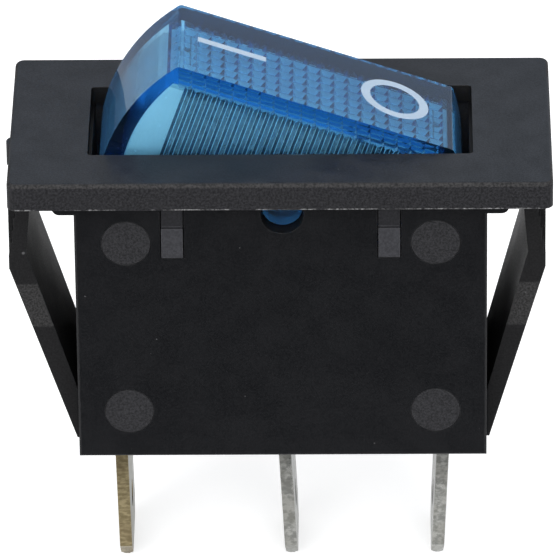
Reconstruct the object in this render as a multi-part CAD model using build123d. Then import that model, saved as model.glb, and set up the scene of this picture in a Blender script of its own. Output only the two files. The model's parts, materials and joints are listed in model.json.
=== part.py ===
from build123d import *
import math
import os

os.makedirs("parts", exist_ok=True)

# Illuminated rocker switch, in millimetres.
# Origin: centre of the bezel's underside rim, which is the panel's face.
# +X runs along the bezel to the O end, +Y away from the side cover, +Z out of the panel.

# Bezel frame
bezel_length = 32.0
bezel_width = 15.7
bezel_thickness = 1.72
bezel_edge_radius = 0.25
bezel_corner_radius = 0.55
window_length = 22.7
window_width = 8.44
window_corner_radius = 0.25
gate_mark_width = 1.2
gate_mark_y = -2.0
gate_mark_depth = 0.22

# Body: housing and side cover
body_length = 24.34
body_width = 12.3
body_depth = 17.8
body_rise = 0.6
end_wall = 1.0
far_wall = 1.2
cover_thickness = 1.2
floor_thickness = 1.2
shoulder_length = 1.28
shoulder_depth = 1.25
shoulder_radius = 0.45
body_clearance = 0.1
cover_edge = 0.12
cut_margin = 1.0

# Four pegs that hold the side cover
peg_x = 9.13
peg_high_z = -3.18
peg_low_z = -14.66
peg_radius = 1.44
peg_clearance = 0.02
lug_reach = 1.9
lug_thickness = 0.75

# Snap-in wings, one at each end of the housing
wing_width = 7.8
wing_beyond_left = 0.17
wing_beyond_right = -0.33
wing_thickness = 1.3
wing_tip_z = -2.2
wing_bend_z = -6.1
wing_root_z = -14.75
wing_foot = 0.19
wing_waist = 0.25
ledge_count = 4
ledge_pitch = 0.85
ledge_depth = 0.11
ledge_band = 0.6
wing_inner_bend = 1.0

# Bezel latch tabs and the windows they catch in
latch_x = 6.4
latch_width = 1.28
latch_end_z = -4.12
latch_catch_z = -2.1
latch_thickness = 0.45
latch_recess = 0.15
latch_proud = 0.08
latch_hook = 0.55
latch_clearance = 0.06

# Rocker, drawn level about its pivot and then tilted
pivot_x = 0.1
pivot_z = -1.25
rocker_tilt = 19.3
rocker_width = 7.8
rocker_half_length = 8.545
rocker_top = 6.2
rocker_skirt = 2.4
rocker_end_drop = 0.45
rocker_corner_radius = 0.35
lens_side_wall = 0.8
lens_end_wall = 0.9
lens_top_wall = 1.4
prism_columns = 19
prism_pitch = 0.852
prism_rows = 7
prism_height = 0.42
prism_length = 0.42
rib_pitch = 0.52
rib_height = 0.23
rib_flat = 0.05
same_point = 1e-6
rib_zone = 7.67
pivot_radius = 1.2
pivot_length = 1.35
pivot_clearance = 0.08
pad_half_length = 2.6
pad_drop = 2.6
pad_clearance = 0.3

# Lamp carrier inside the lens
carrier_clearance = 0.1
carrier_top = 4.33
bay_floor = 1.1
bay_half_length = 7.2
bay_half_width = 1.5
diffuser_thickness = 0.4
diffuser_ledge = 0.4
diffuser_clearance = 0.05
tube_radius = 2.0
tube_end = -6.0
bore_radius = 1.3
bore_top = 0.6

# Plunger and its spring
plunger_radius = 1.25
plunger_nose_radius = 0.9
plunger_neck = 1.6
plunger_shank = 3.7
plunger_gap = 0.15
plunger_spring_wire = 0.15
plunger_spring_radius = 0.95
plunger_spring_turns = 4

# Lamp, resistor and leads
bulb_radius = 1.35
bulb_length = 6.6
bulb_start = -6.0
bulb_taper = 0.45
resistor_radius = 0.85
resistor_length = 3.4
resistor_gap = 1.4
resistor_taper = 0.2
lead_radius = 0.2
lead_hole_clearance = 0.1
lead_drop_u = 7.75
lamp_contact_length = 2.6
lamp_contact_width = 3.4
lamp_contact_thickness = 0.25
lamp_contact_u = 7.5
lamp_contact_y = -0.6
lamp_contact_corner = 0.4

# Rocking contact blade, drawn level about its fulcrum and then tilted
fulcrum_z = -12.0
blade_tilt = 8.0
blade_thickness = 0.6
blade_half_width = 1.5
blade_flat = 1.2
blade_arm_angle = 30.0
blade_arm_reach = 3.6
blade_half_length = 6.8
blade_lift = 0.3
fulcrum_radius = 0.4
fulcrum_clearance = 0.05
contact_x = 5.9
contact_radius = 0.85
contact_height = 0.6
contact_edge = 0.15
rivet_shank_radius = 0.5
rivet_tail_height = 0.25
rivet_tail_radius = 0.7
contact_gap_closed = 0.13
fixed_contact_height = 0.5

# Terminals
lamp_terminal_x = -9.8
load_terminal_x = 9.65
terminal_width = 6.3
terminal_thickness = 0.75
terminal_length = 9.45
terminal_taper = 1.3
terminal_tip_chamfer = 0.25
terminal_hole_radius = 0.85
terminal_hole_from_tip = 3.15
terminal_shoulder = 0.3
lamp_tab_lean = -1.3
line_tab_lean = -2.7
load_tab_lean = 2.5
terminal_slot_clearance = 0.08
seat_height = 1.5
seat_wall = 1.0
shelf_reach_in = 4.9
shelf_margin = 0.3

# Lamp springs between the end terminals and the lamp contacts
lamp_spring_x = 7.2
lamp_spring_y = 2.3
lamp_spring_radius = 0.5
lamp_spring_wire = 0.12
lamp_spring_turns = 5
spring_end_gap = 0.05
spring_wire_sides = 4

# Worked out from the sizes above
body_half = body_length / 2
body_face = body_width / 2
cover_inner = -(body_face - cover_thickness)
far_inner = body_face - far_wall
floor_top = floor_thickness - body_depth
recess_half = body_half + shoulder_length + body_clearance
rocker_half_width = rocker_width / 2
rocker_radius = math.hypot(rocker_half_length, rocker_top)
rocker_end_radius = math.hypot(rocker_half_length, rocker_top + rocker_end_drop)
pad_face = rocker_half_width + pad_clearance
carrier_half_width = rocker_half_width - lens_side_wall - rib_height - carrier_clearance
carrier_radius = rocker_radius - lens_end_wall - carrier_clearance
lamp_height = bay_floor + bulb_radius
diffuser_floor = carrier_top - diffuser_thickness
resistor_start = bulb_start + bulb_length + resistor_gap
blade_top = blade_lift + blade_thickness
arm_rise = (blade_arm_reach - blade_flat) * math.tan(math.radians(blade_arm_angle))
plunger_reach = pivot_z - fulcrum_z - blade_top - plunger_nose_radius - plunger_gap
tilt = math.radians(blade_tilt)
contact_drop = contact_x * math.sin(tilt) - (blade_lift + arm_rise - contact_height) * math.cos(tilt)
fixed_contact_x = contact_x * math.cos(tilt) + (blade_lift + arm_rise - contact_height) * math.sin(tilt)
fixed_contact_top = fulcrum_z - contact_drop - contact_gap_closed
shelf_top = fixed_contact_top - fixed_contact_height


def block(x0, x1, y0, y1, z0, z1):
    """Box between two corners."""
    return Pos((x0 + x1) / 2, (y0 + y1) / 2, (z0 + z1) / 2) * Box(abs(x1 - x0), abs(y1 - y0), abs(z1 - z0))


def side_face(points):
    """Flat face in the X-Z plane through the points."""
    return make_face(Plane.XZ * Polyline(*points, close=True))


def side_slab(face, y0, y1):
    """Solid between two Y values from a face in the X-Z plane."""
    return extrude(Pos(0, y1, 0) * face, y1 - y0)


def cross_pin(x, z, radius, y0, y1):
    """Cylinder along Y."""
    return Pos(x, (y0 + y1) / 2, z) * Rot(90, 0, 0) * Cylinder(radius, y1 - y0)


def upright(x, y, radius, z0, z1):
    """Cylinder along Z."""
    return Pos(x, y, (z0 + z1) / 2) * Cylinder(radius, z1 - z0)


def single(shape):
    """The one solid of a shape."""
    solids = shape.solids()
    if len(solids) != 1:
        raise ValueError(f"expected one solid, got {len(solids)}")
    return solids[0]


def to_rest(shape):
    """Move a rocker part from its level drawing to its place with the O end pressed."""
    return Pos(pivot_x, 0, pivot_z) * Rot(0, rocker_tilt, 0) * shape


def blade_to_rest(shape):
    """Move a contact blade part from its level drawing to its place with the circuit open."""
    return Pos(0, 0, fulcrum_z) * Rot(0, -blade_tilt, 0) * shape


def body_outline(y0, y1):
    """Outer block of the body, with the shoulders under the bezel's ends."""
    core = block(-body_half, body_half, y0, y1, -body_depth, body_rise)
    reach = body_half + shoulder_length
    bar = block(-reach, reach, y0, y1, -shoulder_depth, body_rise)
    low_edges = bar.edges().filter_by(Axis.Y).group_by(Axis.Z)[0]
    return core + fillet(low_edges, shoulder_radius)


def latch_cuts(sign):
    """Channel and window for one latch tab pair in the wall on that side."""
    half = latch_width / 2 + latch_clearance
    beyond = sign * (body_face + cut_margin)
    bar = sign * (body_face - latch_recess - latch_thickness - latch_clearance)
    inside = sign * (body_face - cover_thickness - cut_margin)
    cuts = []
    for x in (-latch_x, latch_x):
        cuts.append(block(x - half, x + half, bar, beyond, latch_catch_z, body_rise))
        cuts.append(block(x - half, x + half, inside, beyond, latch_end_z - latch_clearance, latch_catch_z))
    return cuts


def make_bezel():
    plate = extrude(Rectangle(bezel_length, bezel_width), bezel_thickness)
    plate = fillet(plate.edges().filter_by(Axis.Z), bezel_corner_radius)
    plate = fillet(plate.edges().group_by(Axis.Z)[-1], bezel_edge_radius)
    window = extrude(RectangleRounded(window_length, window_width, window_corner_radius), bezel_thickness)
    recess_width = body_width + 2 * body_clearance
    plate = plate - window
    plate = plate - block(-recess_half, recess_half, -recess_width / 2, recess_width / 2, 0, body_rise)
    mark = upright(-bezel_length / 2 + gate_mark_width / 2 - gate_mark_depth, 0, gate_mark_width / 2, 0,
                   bezel_thickness - bezel_edge_radius)
    plate = plate + Pos(0, gate_mark_y, 0) * mark
    for sign in (-1, 1):
        for x in (-latch_x, latch_x):
            plate = plate + latch_tab(x, sign)
    return single(plate)


def latch_tab(x, sign):
    """Tab that hooks inward under the bar above its window."""
    half = latch_width / 2
    outer = sign * (body_face - latch_recess)
    inner = sign * (body_face - latch_recess - latch_thickness)
    head_outer = sign * (body_face + latch_proud)
    head_inner = inner - sign * latch_hook
    arm = block(x - half, x + half, inner, outer, latch_end_z, body_rise)
    head = block(x - half, x + half, head_inner, head_outer, latch_end_z, latch_catch_z - latch_clearance)
    lead_in = head.edges().filter_by(Axis.X).group_by(Axis.Z)[0].sort_by(Axis.Y)
    return arm + chamfer(lead_in[-1 if sign < 0 else 0], latch_hook * 0.8)


def wing(sign, reach):
    """Sprung wing: upright ledged tip, then a slope to the foot of the end wall."""
    foot = body_half + wing_foot
    slope_x = (reach - foot) / (wing_bend_z + body_depth)
    inner_bend_z = wing_bend_z + wing_inner_bend
    outer = [(foot, -body_depth), (reach, wing_bend_z)]
    tip = [(reach, wing_tip_z), (reach - wing_thickness, wing_tip_z)]
    waist = [(reach - wing_thickness + wing_waist, inner_bend_z)]
    buried = body_half - end_wall / 2
    root = [(body_half, wing_root_z), (buried, wing_root_z), (buried, -body_depth)]
    half = wing_width / 2
    blade = side_slab(side_face(outer + tip + waist + root), -half, half)
    for k in range(1, ledge_count + 1):
        low = wing_bend_z + k * ledge_pitch
        cut_x = reach - k * ledge_depth
        for y0, y1 in ((-half, ledge_band - half), (half - ledge_band, half)):
            blade = blade - block(cut_x, reach + cut_margin, y0, y1, low, wing_tip_z)
    if sign < 0:
        blade = mirror(blade, Plane.YZ)
    return blade


def make_housing():
    body = body_outline(cover_inner, body_face)
    cavity_half = body_half - end_wall
    body = body - block(-cavity_half, cavity_half, cover_inner, far_inner, floor_top, body_rise)
    pad = block(pivot_x - pad_half_length, pivot_x + pad_half_length, pad_face, far_inner,
                pivot_z - pad_drop, body_rise)
    body = body + pad
    body = body - cross_pin(pivot_x, pivot_z, pivot_radius + pivot_clearance, pad_face, body_face)
    for cut in latch_cuts(1):
        body = body - cut
    for x in (lamp_terminal_x, 0, load_terminal_x):
        body = body + terminal_seat(x)
    for x in (lamp_terminal_x, 0, load_terminal_x):
        body = body - terminal_slot(x)
    for sign in (-1, 1):
        for z in (peg_high_z, peg_low_z):
            body = body + lug(sign, z) + cross_pin(sign * peg_x, z, peg_radius, -body_face, cover_inner)
    half = bezel_length / 2
    body = body + wing(-1, half + wing_beyond_left) + wing(1, half + wing_beyond_right)
    return single(body)


def lug(sign, z):
    """Bracket on the end wall that carries one peg."""
    low = max(z - lug_reach, floor_top)
    x0 = sign * (peg_x - lug_reach)
    x1 = sign * (body_half - end_wall)
    return block(x0, x1, cover_inner, cover_inner + lug_thickness, low, z + lug_reach)


def terminal_seat(x):
    """Raised seat on the floor around one terminal."""
    half_x = terminal_thickness / 2 + seat_wall
    half_y = min(terminal_width / 2 + seat_wall, far_inner, -cover_inner)
    return block(x - half_x, x + half_x, -half_y, half_y, floor_top, floor_top + seat_height)


def terminal_slot(x):
    """Slot through the seat and the floor."""
    half_x = terminal_thickness / 2 + terminal_slot_clearance
    half_y = terminal_width / 2 + terminal_slot_clearance
    return block(x - half_x, x + half_x, -half_y, half_y, -body_depth, floor_top + seat_height)


def make_cover():
    plate = body_outline(-body_face, cover_inner)
    front = plate.edges().group_by(Axis.Y)[0]
    low = front.filter_by(Axis.X).group_by(Axis.Z)[0]
    sides = front.filter_by(Axis.Z).filter_by(lambda edge: edge.center().Z < -shoulder_depth)
    plate = chamfer(low + sides, cover_edge)
    pad = block(pivot_x - pad_half_length, pivot_x + pad_half_length, cover_inner, -pad_face,
                pivot_z - pad_drop, body_rise)
    plate = plate + pad
    plate = plate - cross_pin(pivot_x, pivot_z, pivot_radius + pivot_clearance, -body_face, -pad_face)
    for cut in latch_cuts(-1):
        plate = plate - cut
    for x in (-peg_x, peg_x):
        for z in (peg_high_z, peg_low_z):
            plate = plate - cross_pin(x, z, peg_radius + peg_clearance, -body_face, cover_inner)
    return single(plate)


def rocker_face(radius, top, bottom, drop=0.0):
    """Side outline of a rocker part: flat top and bottom, ends round a point the drop below the pivot."""
    wide = Plane.XZ * Rectangle(2 * radius, top - bottom, align=(Align.CENTER, Align.MIN))
    disc = Plane.XZ * Circle(radius)
    return (Pos(0, 0, -drop) * disc) & (Pos(0, 0, bottom) * wide)


def teeth(start, pitch, count, root, tip, root_flat, tip_flat):
    """Points of a row of equal teeth, with flats on the tips and in the gaps where they aren't 0."""
    row = [(start, root)]
    for k in range(count):
        middle = start + (k + 0.5) * pitch
        row += [(middle - (pitch - root_flat) / 2, root), (middle - tip_flat / 2, tip),
                (middle + tip_flat / 2, tip), (middle + (pitch - root_flat) / 2, root)]
    row.append((start + count * pitch, root))
    return row[:1] + [b for a, b in zip(row, row[1:]) if math.dist(a, b) > same_point]


def prism_field():
    """Pyramids under the lens's top: what two crossed rows of teeth have in common."""
    ceiling = rocker_top - lens_top_wall
    inner_radius = rocker_radius - lens_end_wall
    half_u = math.sqrt(inner_radius ** 2 - ceiling ** 2)
    half_y = rocker_half_width - lens_side_wall
    rise = ceiling + prism_height
    first = -prism_columns * prism_pitch / 2
    tip = ceiling - prism_height
    along = teeth(first, prism_pitch, prism_columns, ceiling, tip, 0, prism_length)
    across = teeth(-half_y, 2 * half_y / prism_rows, prism_rows, ceiling, tip, 0, 0)
    ends = [(half_u, ceiling), (half_u, rise), (-half_u, rise), (-half_u, ceiling)]
    rows = side_slab(side_face(along + ends), -half_y, half_y)
    outline = [(0, y, z) for y, z in across + [(half_y, rise), (-half_y, rise)]]
    columns = extrude(make_face(Polyline(*outline, close=True)), half_u, both=True)
    return rows & columns


def rib_row(sign):
    """Upright ribs on the inside of one side wall."""
    root = sign * (rocker_half_width - lens_side_wall)
    back = sign * (rocker_half_width - lens_side_wall / 2)
    count = round(2 * rib_zone / rib_pitch)
    tip = root - sign * rib_height
    row = teeth(-rib_zone, 2 * rib_zone / count, count, root, tip, rib_flat, rib_flat)
    outline = Polyline(*row, (rib_zone, back), (-rib_zone, back), close=True)
    ribs = extrude(make_face(outline), rocker_top - lens_top_wall + rocker_skirt)
    return Pos(0, 0, -rocker_skirt) * ribs


def make_lens():
    half = rocker_half_width
    profile = rocker_face(rocker_end_radius, rocker_top, -rocker_skirt, rocker_end_drop)
    shell = side_slab(profile, -half, half)
    ridges = shell.edges().filter_by(Axis.Y).group_by(Axis.Z)[-1]
    shell = fillet(ridges, rocker_corner_radius)
    inner_half = half - lens_side_wall
    inner_top = rocker_top - lens_top_wall
    hollow = rocker_face(rocker_radius - lens_end_wall, inner_top, -rocker_skirt)
    shell = shell - side_slab(hollow, -inner_half, inner_half) + prism_field()
    for sign in (-1, 1):
        ends = sorted((sign * half, sign * (half + pivot_length)))
        shell = shell + rib_row(sign) + cross_pin(0, 0, pivot_radius, *ends)
    return single(to_rest(shell))


def diffuser_span(clearance):
    """Half sizes of the diffuser's rebate less a clearance, as two X and two Y values."""
    u = bay_half_length + diffuser_ledge - clearance
    y = bay_half_width + diffuser_ledge - clearance
    return -u, u, -y, y


def make_diffuser():
    """White plate that closes the lamp bay under the lens's pyramids."""
    return single(to_rest(block(*diffuser_span(diffuser_clearance), diffuser_floor, carrier_top)))


def make_carrier():
    half = carrier_half_width
    body = side_slab(rocker_face(carrier_radius, carrier_top, -rocker_skirt), -half, half)
    bay = (-bay_half_length, bay_half_length, -bay_half_width, bay_half_width, bay_floor, carrier_top)
    rebate = block(*diffuser_span(0), diffuser_floor, carrier_top)
    body = body - block(*bay) - rebate
    body = body + upright(0, 0, tube_radius, tube_end, -rocker_skirt)
    body = body - upright(0, 0, bore_radius, tube_end, bore_top)
    for sign in (-1, 1):
        half_gap = lead_radius + lead_hole_clearance
        drop = upright(sign * lead_drop_u, 0, half_gap, -rocker_skirt, carrier_top)
        groove = block(sign * (bay_half_length - lead_radius), sign * lead_drop_u, -half_gap, half_gap,
                       lamp_height - 2 * lead_radius, carrier_top)
        body = body - drop - groove
    return single(to_rest(body))


def barrel(start, length, radius, end_taper):
    """Round body along the rocker with tapered ends."""
    tube = Pos(start + length / 2, 0, lamp_height) * Rot(0, 90, 0) * Cylinder(radius, length)
    return chamfer(tube.edges().filter_by(GeomType.CIRCLE), end_taper)


def make_bulb():
    return single(to_rest(barrel(bulb_start, bulb_length, bulb_radius, bulb_taper)))


def make_resistor():
    return single(to_rest(barrel(resistor_start, resistor_length, resistor_radius, resistor_taper)))


def make_lead(sign):
    """Lead from the lamp or the resistor, over the bay's end and down to its contact."""
    start = bulb_start if sign < 0 else resistor_start + resistor_length
    drop = (sign * lead_drop_u, 0, lamp_height)
    foot = (sign * lead_drop_u, 0, -rocker_skirt)
    path = Polyline((start, 0, lamp_height), drop, foot)
    section = Plane(origin=path @ 0, z_dir=path % 0) * Circle(lead_radius)
    return single(to_rest(sweep(section, path, transition=Transition.RIGHT)))


def make_link():
    """Short lead between the lamp and the resistor."""
    start = bulb_start + bulb_length
    middle = (start + resistor_start) / 2
    link = Pos(middle, 0, lamp_height) * Rot(0, 90, 0) * Cylinder(lead_radius, resistor_start - start)
    return single(to_rest(link))


def make_lamp_contact(sign):
    """Flat contact under the carrier that the lamp spring bears on."""
    x0 = sign * lamp_contact_u - lamp_contact_length / 2
    plate = block(x0, x0 + lamp_contact_length, lamp_contact_y, lamp_contact_y + lamp_contact_width,
                  -rocker_skirt - lamp_contact_thickness, -rocker_skirt)
    plate = fillet(plate.edges().filter_by(Axis.Z), lamp_contact_corner)
    return single(to_rest(plate))


def coil(wire_radius, coil_radius, turns, z0, z1):
    """Helical spring between two heights, with a wire section of few sides."""
    height = z1 - z0 - 2 * wire_radius
    path = Pos(0, 0, z0 + wire_radius) * Helix(height / turns, height, coil_radius)
    section = Plane(origin=path @ 0, z_dir=path % 0) * RegularPolygon(wire_radius, spring_wire_sides)
    return sweep(section, path, is_frenet=True)


def lamp_contact_height(x):
    """Height of a lamp contact's underside above a place on the X axis."""
    angle = math.radians(rocker_tilt)
    drop = rocker_skirt + lamp_contact_thickness
    along = (x - pivot_x + drop * math.sin(angle)) / math.cos(angle)
    return pivot_z - along * math.sin(angle) - drop * math.cos(angle)


def make_lamp_spring(sign):
    x = sign * lamp_spring_x
    low_side = x + lamp_spring_radius + lamp_spring_wire
    top = lamp_contact_height(low_side) - spring_end_gap
    spring = coil(lamp_spring_wire, lamp_spring_radius, lamp_spring_turns, shelf_top + spring_end_gap, top)
    return single(Pos(x, lamp_spring_y, 0) * spring)


def plunger_top():
    return -plunger_reach + plunger_neck + plunger_shank


def make_plunger():
    neck = -plunger_reach + plunger_neck
    profile = Polyline((0, 0, neck), (0, 0, plunger_top()), (plunger_radius, 0, plunger_top()),
                       (plunger_radius, 0, neck), (0, 0, neck))
    shank = revolve(make_face(profile), Axis.Z)
    nose = Pos(0, 0, -plunger_reach) * Sphere(plunger_nose_radius)
    taper = Cone(plunger_nose_radius, plunger_radius, plunger_neck)
    neck_cone = Pos(0, 0, neck - plunger_neck / 2) * taper
    return single(to_rest(shank + neck_cone + nose))


def make_plunger_spring():
    spring = coil(plunger_spring_wire, plunger_spring_radius, plunger_spring_turns,
                  plunger_top() + spring_end_gap, bore_top - spring_end_gap)
    return single(to_rest(spring))


def make_blade():
    flat = blade_flat
    reach = blade_arm_reach
    end = blade_half_length
    half_turn = math.radians(blade_arm_angle / 2)
    shift = blade_thickness * math.tan(half_turn)
    low = [(-end, blade_lift + arm_rise), (-reach + shift, blade_lift + arm_rise), (-flat, blade_lift),
           (flat, blade_lift), (reach - shift, blade_lift + arm_rise), (end, blade_lift + arm_rise)]
    high = [(end, blade_top + arm_rise), (reach, blade_top + arm_rise), (flat, blade_top),
            (-flat, blade_top), (-reach, blade_top + arm_rise), (-end, blade_top + arm_rise)]
    strip = side_slab(side_face(low + high), -blade_half_width, blade_half_width)
    strip = strip - cross_pin(0, 0, fulcrum_radius + fulcrum_clearance, -blade_half_width, blade_half_width)
    strip = strip - upright(contact_x, 0, rivet_shank_radius, blade_lift + arm_rise, blade_top + arm_rise)
    return single(blade_to_rest(strip))


def rivet(head_height, through):
    """Contact rivet with its head up, shank below and closed tail under the strip."""
    head = Pos(0, 0, head_height / 2) * Cylinder(contact_radius, head_height)
    head = chamfer(head.edges().filter_by(GeomType.CIRCLE).group_by(Axis.Z)[-1], contact_edge)
    shank = Pos(0, 0, -through / 2) * Cylinder(rivet_shank_radius, through)
    tail = Pos(0, 0, -through - rivet_tail_height / 2) * Cylinder(rivet_tail_radius, rivet_tail_height)
    return head + shank + tail


def make_moving_contact():
    turned = Rot(180, 0, 0) * rivet(contact_height, blade_thickness)
    return single(blade_to_rest(Pos(contact_x, 0, blade_lift + arm_rise) * turned))


def make_fixed_contact():
    return single(Pos(fixed_contact_x, 0, shelf_top) * rivet(fixed_contact_height, terminal_thickness))


def tab(x, lean):
    """Blade below the floor, leaning a little from its slot: tapered, chamfered tip and a round hole."""
    half = terminal_width / 2
    outline = Plane.YZ * Polyline((-half, 0), (-half, terminal_taper - terminal_length),
                                  (terminal_taper - half, -terminal_length),
                                  (half - terminal_taper, -terminal_length),
                                  (half, terminal_taper - terminal_length), (half, 0), close=True)
    strip = extrude(make_face(outline), terminal_thickness / 2, both=True)
    strip = chamfer(strip.edges().group_by(Axis.Z)[0].filter_by(Axis.Y), terminal_tip_chamfer)
    hole = Rot(0, 90, 0) * Cylinder(terminal_hole_radius, terminal_thickness)
    strip = strip - Pos(0, 0, terminal_hole_from_tip - terminal_length) * hole
    knee = cross_pin(0, 0, terminal_thickness / 2, -half, half)
    side = terminal_thickness / 2
    stem = block(-side, side, -half, half, 0, floor_thickness + seat_height)
    return Pos(x, 0, -body_depth) * (Rot(0, lean, 0) * strip + knee + stem)


def upright_strip(x, top):
    """Part of a terminal inside the housing, wider than its slot so that it stops on the seat."""
    half = terminal_width / 2 + terminal_shoulder
    side = terminal_thickness / 2
    return block(x - side, x + side, -half, half, floor_top + seat_height, top)


def make_terminal_line():
    half = terminal_width / 2 + terminal_shoulder
    post = upright_strip(0, fulcrum_z)
    edge = cross_pin(0, fulcrum_z, fulcrum_radius, -half, half)
    cheek_in = blade_half_width + fulcrum_clearance * 2
    strip = tab(0, line_tab_lean) + post + edge
    for sign in (-1, 1):
        strip = strip + block(-fulcrum_radius, fulcrum_radius, sign * cheek_in, sign * half, fulcrum_z,
                              fulcrum_z + blade_top)
    return single(strip)


def make_end_terminal(sign, reach_in, lean):
    """End terminal with a shelf bent inward at the top."""
    x = lamp_terminal_x if sign < 0 else load_terminal_x
    outer = x + sign * terminal_thickness / 2
    half = terminal_width / 2 + terminal_shoulder
    post = upright_strip(x, shelf_top - terminal_thickness)
    shelf = block(outer, sign * reach_in, -half, half, shelf_top - terminal_thickness, shelf_top)
    corner = shelf.edges().filter_by(Axis.Y).group_by(Axis.Z)[-1].sort_by(Axis.X)[-1 if sign > 0 else 0]
    return tab(x, lean) + post + fillet(corner, terminal_thickness * 0.9)


def make_terminal_load():
    strip = make_end_terminal(1, shelf_reach_in, load_tab_lean)
    shank = rivet_shank_radius
    hole = upright(fixed_contact_x, 0, shank, shelf_top - terminal_thickness, shelf_top)
    return single(strip - hole)


def make_terminal_lamp():
    reach_in = lamp_spring_x - lamp_spring_radius - lamp_spring_wire - shelf_margin
    return single(make_end_terminal(-1, reach_in, lamp_tab_lean))


def make_all():
    return {
        "bezel_frame": make_bezel(),
        "housing": make_housing(),
        "side_cover": make_cover(),
        "rocker_lens": make_lens(),
        "lamp_carrier": make_carrier(),
        "lamp_diffuser": make_diffuser(),
        "lamp_bulb": make_bulb(),
        "lamp_resistor": make_resistor(),
        "lamp_lead_left": make_lead(-1),
        "lamp_lead_right": make_lead(1),
        "lamp_link": make_link(),
        "lamp_contact_left": make_lamp_contact(-1),
        "lamp_contact_right": make_lamp_contact(1),
        "lamp_spring_left": make_lamp_spring(-1),
        "lamp_spring_right": make_lamp_spring(1),
        "plunger": make_plunger(),
        "plunger_spring": make_plunger_spring(),
        "contact_blade": make_blade(),
        "moving_contact": make_moving_contact(),
        "fixed_contact": make_fixed_contact(),
        "terminal_lamp": make_terminal_lamp(),
        "terminal_line": make_terminal_line(),
        "terminal_load": make_terminal_load(),
    }


for name, solid in make_all().items():
    solid.label = name
    export_step(solid, f"parts/{name}.step")
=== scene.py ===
import bpy
import bmesh
import json
import math
from mathutils import Matrix, Vector


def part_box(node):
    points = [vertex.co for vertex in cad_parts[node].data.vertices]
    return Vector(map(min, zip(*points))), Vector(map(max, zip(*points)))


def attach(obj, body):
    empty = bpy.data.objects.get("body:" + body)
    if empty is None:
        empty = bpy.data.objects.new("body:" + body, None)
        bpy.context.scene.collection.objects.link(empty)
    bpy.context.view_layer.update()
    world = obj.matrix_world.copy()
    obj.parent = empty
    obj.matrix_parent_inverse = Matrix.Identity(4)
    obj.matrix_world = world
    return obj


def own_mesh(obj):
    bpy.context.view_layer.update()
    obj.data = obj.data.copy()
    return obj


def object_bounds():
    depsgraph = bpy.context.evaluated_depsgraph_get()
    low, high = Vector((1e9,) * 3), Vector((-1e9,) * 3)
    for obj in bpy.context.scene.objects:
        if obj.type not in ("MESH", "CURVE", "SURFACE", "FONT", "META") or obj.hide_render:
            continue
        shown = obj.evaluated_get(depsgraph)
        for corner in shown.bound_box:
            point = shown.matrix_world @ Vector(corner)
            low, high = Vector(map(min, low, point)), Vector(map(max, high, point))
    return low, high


# the illuminated rocker switch: finishes for its plastics, lens and metals, the printed marks, the studio

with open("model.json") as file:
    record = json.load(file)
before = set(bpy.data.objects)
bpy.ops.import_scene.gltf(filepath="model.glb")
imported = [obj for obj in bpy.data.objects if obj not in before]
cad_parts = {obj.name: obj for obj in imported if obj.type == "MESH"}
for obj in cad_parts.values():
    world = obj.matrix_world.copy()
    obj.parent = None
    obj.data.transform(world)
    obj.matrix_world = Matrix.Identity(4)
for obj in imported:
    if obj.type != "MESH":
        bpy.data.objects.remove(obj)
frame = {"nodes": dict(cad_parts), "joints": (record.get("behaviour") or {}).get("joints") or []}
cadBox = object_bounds()
print("frame loaded:", len(frame["nodes"]), "nodes")

mm = 0.001  # the looks below give sizes in millimetres


def addNode(tree, kind, **values):
    node = tree.nodes.new(kind)
    for name, value in values.items():
        setattr(node, name, value)
    return node


def wire(tree, source, target):
    tree.links.new(source, target)


def feed(tree, socket, value):
    # a socket takes either a plain value or another node's output
    if isinstance(value, bpy.types.NodeSocket):
        tree.links.new(value, socket)
    else:
        socket.default_value = value


def maths(tree, operation, first, second=0.0, clamp=False):
    node = addNode(tree, "ShaderNodeMath", operation=operation, use_clamp=clamp)
    feed(tree, node.inputs[0], first)
    feed(tree, node.inputs[1], second)
    return node.outputs[0]


def times(tree, first, *others):
    for other in others:
        first = maths(tree, "MULTIPLY", first, other)
    return first


def plus(tree, first, second, clamp=False):
    return maths(tree, "ADD", first, second, clamp)


def amount(tree, value):
    # without its sign, as a distance from the middle
    return maths(tree, "ABSOLUTE", value)


def ramp(tree, value, low, high, start=0.0, end=1.0):
    node = addNode(tree, "ShaderNodeMapRange", interpolation_type="SMOOTHSTEP")
    feed(tree, node.inputs["Value"], value)
    feed(tree, node.inputs["From Min"], low)
    feed(tree, node.inputs["From Max"], high)
    feed(tree, node.inputs["To Min"], start)
    feed(tree, node.inputs["To Max"], end)
    return node.outputs["Result"]


def above(tree, value, level, soft=0.05):
    return ramp(tree, value, level - soft, level + soft)


def below(tree, value, level, soft=0.05):
    return ramp(tree, value, level + soft, level - soft)


def rgba(colour):
    return (*colour, 1.0)


def blendColour(tree, mask, first, second):
    # the mix node's inputs 6 and 7 and its output 2 are the ones for colours
    node = addNode(tree, "ShaderNodeMix", data_type="RGBA")
    feed(tree, node.inputs[0], mask)
    feed(tree, node.inputs[6], first)
    feed(tree, node.inputs[7], second)
    return node.outputs[2]


def noise(tree, place, scale, detail=2.0, roughness=0.5):
    node = addNode(tree, "ShaderNodeTexNoise", noise_dimensions="3D")
    wire(tree, place, node.inputs["Vector"])
    feed(tree, node.inputs["Scale"], scale)
    node.inputs["Detail"].default_value = detail
    node.inputs["Roughness"].default_value = roughness
    return node.outputs["Fac"]


def stretched(tree, place, factors):
    node = addNode(tree, "ShaderNodeVectorMath", operation="MULTIPLY")
    wire(tree, place, node.inputs[0])
    node.inputs[1].default_value = factors
    return node.outputs[0]


def placeInMm(tree):
    # position on the part in millimetres, the same at every pose
    coords = addNode(tree, "ShaderNodeTexCoord")
    scale = addNode(tree, "ShaderNodeVectorMath", operation="SCALE")
    wire(tree, coords.outputs["Object"], scale.inputs[0])
    scale.inputs["Scale"].default_value = 1 / mm
    return scale.outputs[0]


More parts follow.
